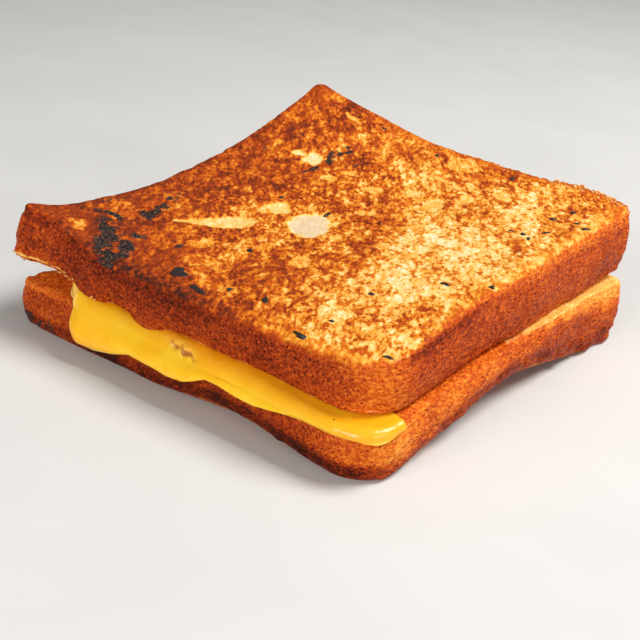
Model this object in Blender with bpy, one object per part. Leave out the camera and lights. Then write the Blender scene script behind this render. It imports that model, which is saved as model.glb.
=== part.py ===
"""Grilled cheese sandwich: two toasted slices of a square loaf with melted cheese between them.

All dimensions are in millimetres and are turned to metres as each mesh is made.
X runs along the front side, where the cheese has run out, Y runs back and Z is up.
Corners: near right (+X, -Y), near left (-X, -Y), back left (-X, +Y), back right (+X, +Y).
"""

import math

import bpy
import numpy as np

MM = 0.001

# Slice plan: half width, half depth, and for each corner (x side, y side) its radius and how far
# it is drawn out in x and y.
HALF_X, HALF_Y = 55.0, 59.0
NEAR_R = 12.0
UPPER_CORNERS = {
    (1, -1): (NEAR_R, 0.0, 0.0), (-1, -1): (3.5, 3.4, 1.6), (-1, 1): (3.5, 0.8, 0.8), (1, 1): (6.0, 1.6, 2.4),
}
LOWER_CORNERS = {
    (1, -1): (NEAR_R, 1.0, 1.4), (-1, -1): (3.5, 3.6, 0.6), (-1, 1): (5.0, 0.0, 0.0), (1, 1): (6.5, 0.6, 0.0),
}
EDGE_SHARE = 9.0
EDGE_CELLS, MID_CELLS = 3, 14

# The lower slice has slid and turned a little under the upper one.
LOWER_SHIFT = (2.0, -1.3)
LOWER_TURN = math.radians(-1.2)

# Rounding where a face meets the crust, and how far the crust swells half way up.
TOASTED_RIM, INNER_RIM, UNDER_RIM = 2.0, 1.0, 2.6
CRUST_SWELL = 0.7
SIDE_RINGS = (0.0, 0.5, 1.0)
UPPER_SEED, LOWER_SEED = 0.6, 2.3

# Heights of each face on a net over the plan: a row from left to right for each line from front to back.
NET_X, NET_Y = (-55.0, -28.0, 0.0, 28.0, 55.0), (-59.0, -20.0, 20.0, 59.0)
UPPER_TOP = ((32.4, 26.1, 25.9, 26.4, 27.6),
             (29.8, 28.1, 28.0, 30.3, 33.4),
             (34.5, 31.9, 31.0, 33.1, 36.2),
             (48.4, 42.6, 38.6, 38.7, 37.4))
UPPER_UNDER = ((18.2, 16.2, 16.3, 15.9, 14.6),
               (17.7, 17.1, 17.1, 17.6, 17.8),
               (20.0, 19.0, 18.5, 18.5, 19.2),
               (27.6, 24.4, 22.1, 20.7, 19.9))
LOWER_TOP = ((12.6, 13.6, 13.2, 12.9, 13.0),
             (14.1, 13.5, 13.6, 14.8, 16.8),
             (16.7, 15.6, 14.5, 14.7, 18.2),
             (22.6, 20.4, 18.7, 17.5, 17.6))

# The upper slice's edge is lifted beside its near left corner.
LIP_X, LIP_Y, LIP_REACH, LIP_TOP, LIP_UNDER = -44.0, -61.0, 17.0, 2.9, 2.0

# The underside is flat, with these edges curling up: (x side, y side, centre, reach in, half length, lift).
UNDER_FLAT = 0.0
CURL_RIGHT = dict(at=-6.0, reach=24.0, span=52.0, lift=7.6)
CURL_FRONT = dict(at=16.0, reach=14.0, span=30.0, lift=2.8)
CURL_BACK_LEFT = dict(reach=50.0, lift=6.5)

# Cheese: clearance to the bread, the layer's reach between the slices, and the run down the front.
# Distances "along" follow the front edge from left to right and then round the near right corner.
CLEAR, TOP_CLEAR = 0.42, 0.62
LAYER_HALF_X, LAYER_BACK = 50.0, 53.0
NOSE_STARTS, RUN_STARTS = -38.6, -37.2
NOSE_PULL = 16.0
RUN_ENDS = HALF_X - NEAR_R + NEAR_R * math.radians(72)
RUN_TIPS = ((-38, 5.6), (-34, 4.4), (-30, 3.6), (-24, 3.8), (-16, 5.2), (-8, 5.4), (2, 4.7), (10, 6.4),
            (20, 7.6), (30, 9.0), (40, 9.8), (46, 9.8), (50, 9.9), (53, 11.0), (59, 14.0))
RUN_THICK = ((-38, 2.6), (-32, 3.8), (-22, 3.2), (-8, 2.8), (2, 3.4), (15, 3.2), (30, 2.8), (44, 3.2),
             (50, 3.0), (59, 1.2))
FLAT_POINTS, RIM_POINTS, SIDE_POINTS, LAYER_POINTS = 2, 3, 4, 7
FLAT_LENGTH = 3.5

CRUST_BROWN = (0.42, 0.16, 0.045)
TOAST_GOLD = (0.55, 0.27, 0.09)
CHEESE_YELLOW = (0.95, 0.50, 0.06)


def weights(nodes, t):
    """The share of each node in a smooth curve through all of them, at t."""
    return [np.prod([(t - other) / (node - other) for other in nodes if other != node], axis=0)
            for node in nodes]


def face(rows, lip=0.0):
    """A smooth height over the plan through the net's heights, with the lifted lip."""
    def height(x, y):
        along, across = weights(NET_X, x), weights(NET_Y, y)
        z = sum(across[j] * along[i] * rows[j][i] for j in range(len(NET_Y)) for i in range(len(NET_X)))
        far = np.clip(((x - LIP_X) ** 2 + (y - LIP_Y) ** 2) / LIP_REACH**2, 0, 1)
        return z + lip * (1 - far) ** 2

    return height


upper_top = face(UPPER_TOP, LIP_TOP)
upper_under = face(UPPER_UNDER, LIP_UNDER)
lower_top = face(LOWER_TOP)


def ease(t):
    t = np.clip(t, 0.0, 1.0)
    return t * t * (3 - 2 * t)


def lower_under(x, y):
    """Flat in the middle, with the right and front edges and the back left corner curling up."""
    along = ease(1 - np.abs(y - CURL_RIGHT["at"]) / CURL_RIGHT["span"])
    inward = np.clip(1 - (HALF_X + 1 - x) / CURL_RIGHT["reach"], 0, 1.1) ** 1.8
    z = CURL_RIGHT["lift"] * along * inward
    along = ease(1 - np.abs(x - CURL_FRONT["at"]) / CURL_FRONT["span"])
    inward = np.clip(1 - (y + HALF_Y + 1) / CURL_FRONT["reach"], 0, 1.1) ** 1.8
    z = np.maximum(z, CURL_FRONT["lift"] * along * inward)
    far = np.hypot(x + HALF_X, y - HALF_Y) / CURL_BACK_LEFT["reach"]
    z = np.maximum(z, CURL_BACK_LEFT["lift"] * np.clip(1 - far, 0, 1) ** 1.6)
    return UNDER_FLAT + z


def wander(x, y, seed):
    """The slight waver of a soft loaf's sides, as a shift in x and y."""
    k = 0.045
    dx = 0.55 * np.sin(k * y * 1.3 + seed) + 0.25 * np.sin(k * y * 3.7 + 2.1 * seed)
    dy = 0.50 * np.sin(k * x * 1.2 + 1.7 * seed) + 0.25 * np.sin(k * x * 3.9 + seed)
    return x + dx * (x / HALF_X) ** 2 * np.sign(x), y + dy * (y / HALF_Y) ** 2 * np.sign(y)


def plan(u, v, inset, corners):
    """Unit-square coordinates to the rounded plan of a slice, drawn in by inset."""
    half_x, half_y = HALF_X - inset, HALF_Y - inset
    x, y = u * half_x, v * half_y
    for (side_x, side_y), (radius, _, _) in corners.items():
        r = radius - inset
        s = (x * side_x - (half_x - r)) / r
        t = (y * side_y - (half_y - r)) / r
        inside = (s > 0) & (t > 0)
        s, t = np.clip(s, 0, 1), np.clip(t, 0, 1)
        x = np.where(inside, side_x * (half_x - r + r * s * np.sqrt(1 - t * t / 2)), x)
        y = np.where(inside, side_y * (half_y - r + r * t * np.sqrt(1 - s * s / 2)), y)
    return draw_out(x, y, corners)


def draw_out(x, y, corners):
    """Moves the plan out towards the corners that stick out."""
    move_x, move_y = np.zeros(np.shape(x)), np.zeros(np.shape(x))
    for (side_x, side_y), (_, out_x, out_y) in corners.items():
        near = np.clip(x * side_x / HALF_X, 0, 1.05) ** 5 * np.clip(y * side_y / HALF_Y, 0, 1.05) ** 5
        move_x, move_y = move_x + side_x * out_x * near, move_y + side_y * out_y * near
    return x + move_x, y + move_y


def to_lower(x, y):
    """The lower slice's own plan to the sandwich's."""
    c, s = math.cos(LOWER_TURN), math.sin(LOWER_TURN)
    return c * x - s * y + LOWER_SHIFT[0], s * x + c * y + LOWER_SHIFT[1]


def grid_line(radius_share):
    edge = np.linspace(0, radius_share, EDGE_CELLS + 1)
    middle = np.linspace(radius_share, 2 - radius_share, MID_CELLS + 1)
    return np.concatenate([edge, middle[1:-1], 2 - edge[::-1]]) - 1


def slice_mesh(name, top, under, rim_top, rim_under, seed, corners, place):
    """A slice: a grid for each face and rings round the crust, as one closed body."""
    line_u, line_v = grid_line(EDGE_SHARE / HALF_X), grid_line(EDGE_SHARE / HALF_Y)
    n = len(line_u)
    verts, faces = [], []

    def add(u, v, inset, height):
        x, y = plan(u, v, inset, corners)
        x, y = place(*wander(x, y, seed))
        z = height(x, y)
        first = len(verts)
        verts.extend(zip(np.ravel(x), np.ravel(y), np.ravel(z)))
        return first

    gu, gv = np.meshgrid(line_u, line_v, indexing="ij")
    rim = ([(i, 0) for i in range(n - 1)] + [(n - 1, j) for j in range(n - 1)]
           + [(i, n - 1) for i in range(n - 1, 0, -1)] + [(0, j) for j in range(n - 1, 0, -1)])
    ru = np.array([line_u[i] for i, _ in rim])
    rv = np.array([line_v[j] for _, j in rim])

    def cap(first, flip):
        for i in range(n - 1):
            for j in range(n - 1):
                a = first + i * n + j
                quad = (a, a + n, a + n + 1, a + 1)
                faces.append(quad[::-1] if flip else quad)
        return [first + i * n + j for i, j in rim]

    top_rim = cap(add(gu, gv, rim_top, top), False)
    loops = [top_rim]
    for angle in (30, 60):
        a = math.radians(angle)
        drop = rim_top * (1 - math.cos(a))
        first = add(ru, rv, rim_top * (1 - math.sin(a)), lambda x, y, d=drop: top(x, y) - d)
        loops.append(list(range(first, first + len(rim))))
    for share in SIDE_RINGS:
        def between(x, y, share=share):
            high, low = top(x, y) - rim_top, under(x, y) + rim_under
            return high + (low - high) * share
        swell = CRUST_SWELL * math.sin(math.pi * share)
        first = add(ru, rv, -swell, between)
        loops.append(list(range(first, first + len(rim))))
    for angle in (60, 30):
        a = math.radians(angle)
        rise = rim_under * (1 - math.cos(a))
        first = add(ru, rv, rim_under * (1 - math.sin(a)), lambda x, y, d=rise: under(x, y) + d)
        loops.append(list(range(first, first + len(rim))))
    loops.append(cap(add(gu, gv, rim_under, under), True))
    for upper, lower in zip(loops, loops[1:]):
        m = len(upper)
        for k in range(m):
            faces.append((upper[k], lower[k], lower[(k + 1) % m], upper[(k + 1) % m]))
    return name, np.array(verts), faces


def own_to_sandwich(x, y):
    """A point of the lower slice's own plan, with the same drawing out and waver as its crust."""
    return to_lower(*wander(*draw_out(np.asarray(x, float), np.asarray(y, float), LOWER_CORNERS), LOWER_SEED))


def along_edge(along, out):
    """Own plan position at a distance along the front edge, out from the line through the corner's centre."""
    centre_x, centre_y = HALF_X - NEAR_R, -(HALF_Y - NEAR_R)
    turn = max(0.0, along - centre_x) / NEAR_R
    pivot = NEAR_R - INNER_RIM - FLAT_LENGTH
    near = np.minimum(out, pivot)
    x = min(along, centre_x) + np.maximum(out, pivot) * math.sin(turn)
    y = centre_y - np.maximum(out, pivot) * math.cos(turn) - (near - pivot)
    return x, y


def cheese_section(along, pull, rim, drop, back):
    """One loop of the cheese: the layer, then the run bent over the lower slice's front edge.

    pull is how far the front stops short of the edge, rim how far round the edge the run reaches
    (0 to 1) and drop how much of its full fall it makes.
    Returns the loop as points of the sandwich.
    """
    def at(out, z):
        px, py = own_to_sandwich(*along_edge(along, np.asarray(out, float)))
        return px, py, z(px, py) if callable(z) else z

    start, edge = NEAR_R - INNER_RIM - FLAT_LENGTH - pull, NEAR_R - INNER_RIM - pull
    r = INNER_RIM + CLEAR
    shelf = float(at(edge, lower_top)[2])
    tip = np.interp(along, *zip(*RUN_TIPS))
    thick = np.interp(along, *zip(*RUN_THICK)) * (0.3 + 0.7 * drop)
    fall = max(shelf - INNER_RIM - tip - 0.4 * thick, 0.0) * drop
    base, normal, swell = [], [], []
    for k in range(FLAT_POINTS):
        out = start + (edge - start) * k / FLAT_POINTS
        base.append((out, float(at(out, lower_top)[2]) + CLEAR))
        normal.append((0.0, 1.0))
        swell.append(0.0)
    for k in range(RIM_POINTS + 1):
        a = 0.5 * math.pi * max(rim, 0.06) * k / RIM_POINTS
        base.append((edge + r * math.sin(a), shelf - INNER_RIM + r * math.cos(a)))
        normal.append((math.sin(a), math.cos(a)))
        swell.append(ease((k + 1) / 3))
    for k in range(1, SIDE_POINTS + 1):
        down = fall * math.sin(0.5 * math.pi * k / SIDE_POINTS)
        bulge = CRUST_SWELL * math.sin(math.pi * min(1.0, down / 9.0))
        reach_out, lip = edge + r * math.sin(a), shelf - INNER_RIM + r * math.cos(a)
        base.append((reach_out + bulge + 0.02 * k, lip - down - 0.01 * k))
        normal.append((1.0, -0.12 * k / SIDE_POINTS))
        swell.append(1.0)
    count = len(base)
    inner, outer = [], []
    for k, ((out, z), (no, nz)) in enumerate(zip(base, normal)):
        px, py, _ = at(out, 0.0)
        gap = float(upper_under(px, py) - lower_top(px, py)) - CLEAR - TOP_CLEAR
        close = (k - (count - 4)) / 3
        round_off = math.sqrt(max(0.0, 1 - close**2)) if close > 0 else 1.0
        t = (gap * (1 - swell[k]) + max(thick * rim, 0.7) * swell[k]) * (0.25 + 0.75 * round_off)
        inner.append((float(px), float(py), float(z)))
        qx, qy, _ = at(out + no * t, 0.0)
        outer.append((float(qx), float(qy), float(z + nz * t)))
    outs = start - (start - back) * (np.arange(1, LAYER_POINTS + 1) / LAYER_POINTS)
    px, py, low = at(outs, lower_top)
    low, high = low + CLEAR, upper_under(px, py) - TOP_CLEAR
    taper = np.ones(LAYER_POINTS)
    taper[-1] = 0.45
    middle = 0.5 * (low + high)
    under = list(zip(px, py, middle + (low - middle) * taper))
    over = list(zip(px, py, middle + (high - middle) * taper))
    return inner[::-1] + under + over[::-1] + outer


def cheese_stations():
    """(along, pull, rim, drop, back) for each loop, closest together where the run starts and ends."""
    centre_x = HALF_X - NEAR_R
    left = [-50.0, -49.0, -47.0, -44.0, -41.0, NOSE_STARTS, -38.1, -37.6, RUN_STARTS, -36.9, -36.3]
    left += [-35.2, -33.6]
    middle = list(np.linspace(-31.5, 38.0, 19))
    right = [40.5, 42.2, 43.6, 45.6, 47.8, 50.0, 52.0, 53.8, 55.2, 56.3, 57.2, 57.8, RUN_ENDS]
    for along in left + middle + right:
        rim = float(np.clip((along - NOSE_STARTS) / (RUN_STARTS - NOSE_STARTS), 0, 1))
        start = float(np.clip((along - RUN_STARTS) / 5.0, 0, 1))
        end = float(np.clip((RUN_ENDS - along) / 9.0, 0, 1))
        drop = math.sqrt(1 - (1 - start) ** 2) * math.sqrt(1 - (1 - end) ** 2)
        share = min(1.0, abs(along) / LAYER_HALF_X)
        pull = NOSE_PULL * max(0.0, (NOSE_STARTS - along) / (NOSE_STARTS + LAYER_HALF_X)) ** 1.5
        front = -30.0 if along < 0 else -46.0
        back_y = front + (LAYER_BACK - front) * math.sqrt(max(0.0, 1 - share**7))
        if along > centre_x:
            past = along - centre_x
            back_y = front + (back_y - front) * max(0.0, 1 - past / 7.0) - 0.18 * past
        yield along, pull, rim, drop, -(HALF_Y - NEAR_R) - back_y


def cheese_mesh(name):
    """Loops lofted from left to right and round the near right corner, closed at each end."""
    verts, faces, loops = [], [], []
    for station in cheese_stations():
        loop = cheese_section(*station)
        loops.append(list(range(len(verts), len(verts) + len(loop))))
        verts.extend(loop)
    m = len(loops[0])
    for one, two in zip(loops, loops[1:]):
        for k in range(m):
            faces.append((one[k], one[(k + 1) % m], two[(k + 1) % m], two[k]))
    for loop, flip in ((loops[0], False), (loops[-1], True)):
        for k in range(m // 2 - 1):
            quad = (loop[k], loop[m - 1 - k], loop[m - 2 - k], loop[k + 1])
            faces.append(quad[::-1] if flip else quad)
    return name, np.array(verts, float), faces


def material(name, colour, roughness):
    made = bpy.data.materials.new(name)
    made.use_nodes = True
    shader = made.node_tree.nodes["Principled BSDF"]
    shader.inputs["Base Color"].default_value = (*colour, 1.0)
    shader.inputs["Roughness"].default_value = roughness
    shader.inputs["Metallic"].default_value = 0.0
    return made


def put(name, verts, faces, made, shift):
    mesh = bpy.data.meshes.new(name)
    mesh.from_pydata([tuple((v + shift) * MM) for v in verts], [], faces)
    mesh.validate()
    mesh.polygons.foreach_set("use_smooth", [True] * len(mesh.polygons))
    mesh.materials.append(made)
    mesh.update()
    bpy.context.scene.collection.objects.link(bpy.data.objects.new(name, mesh))


def shapes():
    return (
        slice_mesh("bread_bottom", lower_top, lower_under, INNER_RIM, UNDER_RIM, LOWER_SEED, LOWER_CORNERS,
                   to_lower),
        cheese_mesh("cheese"),
        slice_mesh("bread_top", upper_top, upper_under, TOASTED_RIM, INNER_RIM, UPPER_SEED, UPPER_CORNERS,
                   lambda x, y: (x, y)),
    )


def bottom_centre(pieces):
    """The shift that brings the middle of the underside of the bounding box to the origin."""
    every = np.vstack([verts for _, verts, _ in pieces])
    low, high = every.min(0), every.max(0)
    return np.array([-(low[0] + high[0]) / 2, -(low[1] + high[1]) / 2, -low[2]])


def main():
    for obj in list(bpy.data.objects):
        bpy.data.objects.remove(obj)
    looks = {
        "bread_bottom": (CRUST_BROWN, 0.75),
        "cheese": (CHEESE_YELLOW, 0.35),
        "bread_top": (TOAST_GOLD, 0.75),
    }
    pieces = shapes()
    shift = bottom_centre(pieces)
    for name, verts, faces in pieces:
        put(name, verts, faces, material(name, *looks[name]), shift)


main()
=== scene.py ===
"""Looks of the grilled cheese sandwich: bread, crust, cheese, burnt flecks and crumbs round the CAD part."""

import itertools
import math

import bpy
import numpy as np
from mathutils import Matrix, Vector


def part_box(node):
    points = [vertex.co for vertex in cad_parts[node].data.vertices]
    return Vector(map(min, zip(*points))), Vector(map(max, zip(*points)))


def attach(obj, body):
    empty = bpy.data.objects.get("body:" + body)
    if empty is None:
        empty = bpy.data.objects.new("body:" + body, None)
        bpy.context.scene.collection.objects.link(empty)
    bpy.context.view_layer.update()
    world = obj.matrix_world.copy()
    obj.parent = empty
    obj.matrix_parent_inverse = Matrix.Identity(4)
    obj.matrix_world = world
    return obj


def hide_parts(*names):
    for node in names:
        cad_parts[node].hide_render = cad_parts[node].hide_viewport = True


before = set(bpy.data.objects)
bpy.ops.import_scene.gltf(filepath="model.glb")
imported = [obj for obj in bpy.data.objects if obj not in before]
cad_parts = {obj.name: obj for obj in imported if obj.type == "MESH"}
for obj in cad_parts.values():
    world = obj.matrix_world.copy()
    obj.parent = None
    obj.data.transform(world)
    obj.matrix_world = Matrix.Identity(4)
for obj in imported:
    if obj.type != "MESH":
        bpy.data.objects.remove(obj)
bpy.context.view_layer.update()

MM = 0.001

# ---- Shape, in millimetres: the CAD solids' driving sizes, with a finer run of cheese. ----
# X runs along the front side, Y runs back and Z is up. Corners are (x side, y side).
HALF_X, HALF_Y = 55.0, 59.0
NEAR_R = 12.0
UPPER_CORNERS = {
    (1, -1): (NEAR_R, 0.0, 0.0), (-1, -1): (3.5, 3.4, 1.6), (-1, 1): (3.5, 0.8, 0.8), (1, 1): (6.0, 1.6, 2.4),
}
LOWER_CORNERS = {
    (1, -1): (NEAR_R, 1.0, 1.4), (-1, -1): (3.5, 3.6, 0.6), (-1, 1): (5.0, 0.0, 0.0), (1, 1): (6.5, 0.6, 0.0),
}
LOWER_SHIFT, LOWER_TURN = (2.0, -1.3), math.radians(-1.2)
TOASTED_RIM, INNER_RIM, UNDER_RIM = 2.0, 1.0, 2.6
CRUST_SWELL = 0.7
UPPER_SEED, LOWER_SEED = 0.6, 2.3
NEAR_LEFT = -HALF_X, -HALF_Y

NET_X, NET_Y = (-55.0, -28.0, 0.0, 28.0, 55.0), (-59.0, -20.0, 20.0, 59.0)
UPPER_TOP = ((32.4, 26.1, 25.9, 26.4, 27.6),
             (29.8, 28.1, 28.0, 30.3, 33.4),
             (34.5, 31.9, 31.0, 33.1, 36.2),
             (48.4, 42.6, 38.6, 38.7, 37.4))
UPPER_UNDER = ((18.2, 16.2, 16.3, 15.9, 14.6),
               (17.7, 17.1, 17.1, 17.6, 17.8),
               (20.0, 19.0, 18.5, 18.5, 19.2),
               (27.6, 24.4, 22.1, 20.7, 19.9))
LOWER_TOP = ((12.6, 13.6, 13.2, 12.9, 13.0),
             (14.1, 13.5, 13.6, 14.8, 16.8),
             (16.7, 15.6, 14.5, 14.7, 18.2),
             (22.6, 20.4, 18.7, 17.5, 17.6))
LIP_X, LIP_Y, LIP_REACH, LIP_TOP, LIP_UNDER = -44.0, -61.0, 17.0, 2.9, 2.0
CURL_RIGHT = dict(at=-6.0, reach=24.0, span=52.0, lift=7.6)
CURL_FRONT = dict(at=16.0, reach=14.0, span=30.0, lift=2.8)
CURL_BACK_LEFT = dict(reach=50.0, lift=6.5)

CLEAR, TOP_CLEAR = 0.42, 0.62
LAYER_HALF_X, LAYER_BACK = 50.0, 53.0
NOSE_STARTS, RUN_STARTS = -37.4, -35.9
NOSE_PULL = 16.0
RUN_ENDS = HALF_X - NEAR_R + NEAR_R * math.radians(84)
RUN_TIPS = ((-38, 4.8), (-32, 3.5), (-26, 3.5), (-20, 5.0), (-15, 6.6), (-8, 6.6), (-2, 6.1), (3, 6.5), (9, 9.5),
            (13, 9.7), (18, 9.1), (24, 8.9), (30, 10.1), (36, 10.8), (42, 11.6), (46, 11.8), (50, 11.1), (54, 10.3),
            (57, 11.0), (61, 13.0))
RUN_THICK = ((-38, 2.6), (-32, 3.8), (-22, 3.2), (-8, 2.8), (2, 3.4), (15, 3.0), (30, 2.4), (38, 1.9), (46, 1.6),
             (52, 2.2), (56, 2.2), (61, 0.8))
FLAT_LENGTH = 3.5

LIP_FLARE = 2.4           # how far the upper slice's near left corner spreads at its foot
SAGS = ((-12.5, 5.0, 2.4), (-33.0, 5.5, 1.6))  # where the upper slice's front rim sags: x, half width, depth

# Detail of the fine meshes.
FACE_LINES = 215          # grid lines each way over the toasted upper face
EDGE_POINTS = 250         # points along each side of the lower slice
SIDE_RINGS = 30           # rings down a crust
RIM_RINGS = 5
CAP_RINGS, CAP_CROWDING = 15, 1.8         # rings over a face, crowded towards its rim
UNDER_RINGS, UNDER_CROWDING = 18, 1.5
SMALLEST_RING = 0.04      # the last ring, as a share of the outline
LOOP_POINTS = dict(flat=8, rim=8, side=26, layer=24)  # points round a section of the cheese
# Sections of the cheese up to each place along the front.
CHEESE_SECTIONS = ((NOSE_STARTS, 24), (-33, 46), (42, 210), (RUN_ENDS, 62))
CHEESE_UV, CAP_UV = (0.01, 0.95), (0.96, 0.99)  # across the texture: the cheese's length and its two ends
CAP_UV_HEIGHT = 0.48

# ---- Toasting of the upper face: (x, y, level), 0 for pale and 1 for burnt. ----
TOAST_SPREAD = 8.5
TOAST_AREAS = (
    (-50, 52, .62), (-38, 52, .60), (-26, 52, .56), (-14, 52, .55), (2, 52, .55), (20, 53, .55), (33, 50, .42),
    (50, 53, .56), (-47, 36, .66), (-34, 36, .62), (-20, 36, .56), (0, 40, .38), (12, 40, .50), (24, 38, .46),
    (36, 38, .36), (48, 36, .46), (-48, 20, .66), (-34, 18, .62), (-20, 18, .58), (-6, 24, .52), (4, 16, .56),
    (18, 22, .44), (32, 18, .37), (47, 18, .45), (-50, 4, .65), (-38, 4, .63), (-28, 4, .60), (-12, 8, .50),
    (6, 4, .52), (22, 4, .30), (38, 2, .29), (51, 2, .45), (-51, -16, .68), (-40, -10, .64), (-26, -6, .54),
    (-14, -18, .50), (4, -12, .50), (14, -14, .56), (27, -12, .38), (36, -20, .24), (49, -18, .42),
    (-50, -32, .67), (-38, -34, .67), (-26, -30, .58), (-10, -26, .56), (2, -34, .62), (12, -30, .62),
    (24, -32, .42), (38, -34, .33), (50, -34, .44), (-48, -48, .69), (-34, -48, .71), (-22, -44, .68),
    (-8, -42, .56), (6, -44, .58), (20, -44, .50), (33, -46, .32), (46, -48, .40), (-24, -56, .76),
    (-10, -57, .76), (2, -57, .68), (16, -56, .56), (30, -57, .46), (46, -57, .50),
)
# Dents that the pan never touched: (x, y, half length, half width, turn in degrees, how pale).
PALE_SPOTS = (
    (-7.6, -4.2, 8.0, 5.7, 118, 1.0), (-20.5, -1.2, 4.0, 3.2, 110, .66), (-32.4, 28.5, 3.6, 2.6, 120, .85),
    (-37.4, 28.2, 2.1, 1.9, 0, .75), (5.5, -24.9, 4.0, 3.2, 110, .52), (-19.2, -33.2, 3.2, 2.6, 60, .50),
    (-14.2, -43.0, 3.4, 2.8, 0, .40), (-4.2, -48.4, 6.5, 2.4, -12, .38), (2.9, -7.1, 2.4, 2.1, 0, .45),
    (-5.4, -14.6, 3.2, 1.6, 0, .40), (-36.0, 52.2, 3.4, 1.0, -8, .50), (23.6, 42.0, 3.0, 2.4, 0, .60),
    (15.7, 35.0, 3.0, 2.2, 60, .55), (4.0, 53.0, 5.5, 4.5, 0, .45), (10.5, 27.5, 5.0, 3.0, 100, .55),
    (-8.2, 25.5, 3.0, 2.6, 0, .55), (-22.4, 23.4, 2.4, 2.0, 0, .55), (-19.2, 29.8, 3.0, 1.8, 30, .55),
    (-14.5, 4.0, 4.0, 2.2, -50, .35), (-1.0, 12.0, 3.2, 2.2, 40, .45), (39.5, 40.0, 6.5, 3.0, 80, .35),
)
# The same as wedges: (x, y, half width) at each end, how pale.
PALE_WEDGES = ((-33.5, -28.6, 0.6, -22.0, -16.4, 4.6, .64), (-46.2, -48.6, 0.4, -43.0, -54.0, 3.0, .40))
# Burnt strokes: (x, y) at each end, half width, how burnt.
CHAR_STROKES = (
    (-44.4, -15.5, -39.4, -30.5, 1.5, .75), (-41.5, -31.5, -39.0, -34.0, 2.2, .90),
    (-45.0, -41.0, -36.0, -50.0, 3.3, 1.0), (-37.0, -49.0, -28.0, -58.5, 3.0, 1.0),
    (-33.0, -44.0, -28.5, -54.0, 2.4, .90), (-22.2, -36.0, -20.6, -42.6, 1.3, .65),
    (-28.0, 38.5, -28.8, 31.0, 1.6, .80), (-28.8, 30.0, -29.6, 20.5, 1.1, .75),
    (-20.6, 36.4, -20.8, 33.4, .9, .6), (-41.5, 38.5, -43.0, 32.0, 1.3, .45),
    (-46.6, 24.0, -41.0, 37.5, 1.6, .40), (-41.5, -58.8, -36.0, -60.4, 1.2, .90),
    (-8.9, 4.6, -8.7, 3.2, .9, .75), (-50.5, -30.0, -49.0, -45.0, 2.0, .50),
)
# Crisp black flecks lying on the face: (x, y, half length, half width, turn in degrees).
FLECKS = (
    (-11.5, -50.1, 2.3, 2.4, 40), (-3.4, -53.1, 3.1, 1.2, -14), (3.3, -48.8, 0.8, 0.7, 0),
    (13.4, -48.0, 1.4, 1.0, 120), (30.0, -56.0, 2.3, 0.8, -8), (30.9, -30.7, 0.8, 0.8, 60),
    (42.9, -18.2, 1.2, 0.7, -30), (32.0, -47.4, 0.7, 0.5, 30), (-8.3, -27.7, 1.0, 0.8, 20),
    (37.7, 21.9, 0.7, 0.7, 0), (41.8, 20.9, 1.0, 0.8, -20), (44.6, 18.4, 0.9, 0.5, 110),
    (46.0, 25.2, 1.1, 0.7, 80), (52.8, 33.7, 1.1, 0.8, 60), (49.2, 36.2, 0.8, 0.7, 0),
    (45.0, 42.2, 0.8, 0.7, 0), (42.7, 35.3, 0.9, 0.8, 140), (52.6, -13.4, 0.9, 0.7, 80),
    (-24.2, 4.2, 0.7, 0.7, 0), (-25.3, 54.0, 0.8, 0.7, 0), (-4.9, 52.6, 0.7, 0.7, 0), (20.0, 53.5, 0.8, 0.7, 0),
    (50.8, -52.6, 1.0, 0.5, 10),
)


def srgb(red, green, blue):
    """A colour in screen values, 0 to 255, as the linear colour that shaders use."""
    linear = [(c / 255 / 12.92 if c < 11 else ((c / 255 + 0.055) / 1.055) ** 2.4) for c in (red, green, blue)]
    return (*linear, 1.0)


# ---- Noise on the meshes ----
LATTICE = 32


def noise(points, size, seed):
    """Smooth noise from 0 to 1, with bumps about size across, in millimetres."""
    grid = np.random.default_rng(seed).random((LATTICE,) * 3)
    q = points / np.asarray(size, float) + 0.37 * seed
    cell = np.floor(q).astype(int)
    f = q - cell
    f = f * f * (3 - 2 * f)
    total = np.zeros(len(points))
    for step in itertools.product((0, 1), repeat=3):
        corner = (cell + step) % LATTICE
        total += np.abs(1 - np.array(step) - f).prod(1) * grid[corner[:, 0], corner[:, 1], corner[:, 2]]
    return total


def layered(points, size, octaves, seed):
    """Noise in octaves, about -1 to 1."""
    total, height, reach = 0.0, 1.0, 0.0
    for k in range(octaves):
        total = total + height * (noise(points, np.asarray(size, float) / 2**k, seed + 11 * k) * 2 - 1)
        reach, height = reach + height, height * 0.55
    return total / reach * 1.6


def pits(points, size, seed):
    """Distance to the nearest of a scatter of points about size apart, over size."""
    grid = np.random.default_rng(seed).random((LATTICE, LATTICE, LATTICE, 3))
    q = points / size
    cell = np.floor(q).astype(int)
    nearest = np.full(len(points), np.inf)
    for step in itertools.product((-1, 0, 1), repeat=3):
        other = cell + step
        at = other + grid[other[:, 0] % LATTICE, other[:, 1] % LATTICE, other[:, 2] % LATTICE]
        nearest = np.minimum(nearest, ((q - at) ** 2).sum(1))
    return np.sqrt(nearest)


# ---- The CAD shapes' surfaces ----
def weights(nodes, t):
    """The share of each node in a smooth curve through all of them, at t."""
    return [np.prod([(t - other) / (node - other) for other in nodes if other != node], axis=0)
            for node in nodes]


def face(rows, lip=0.0):
    """A smooth height over the plan through the net's heights, with the lifted lip."""
    def height(x, y):
        along, across = weights(NET_X, x), weights(NET_Y, y)
        z = sum(across[j] * along[i] * rows[j][i] for j in range(len(NET_Y)) for i in range(len(NET_X)))
        far = np.clip(((x - LIP_X) ** 2 + (y - LIP_Y) ** 2) / LIP_REACH**2, 0, 1)
        return z + lip * (1 - far) ** 2

    return height


upper_top = face(UPPER_TOP, LIP_TOP)
upper_under = face(UPPER_UNDER, LIP_UNDER)
lower_top = face(LOWER_TOP)


def ease(t):
    t = np.clip(t, 0.0, 1.0)
    return t * t * (3 - 2 * t)


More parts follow.
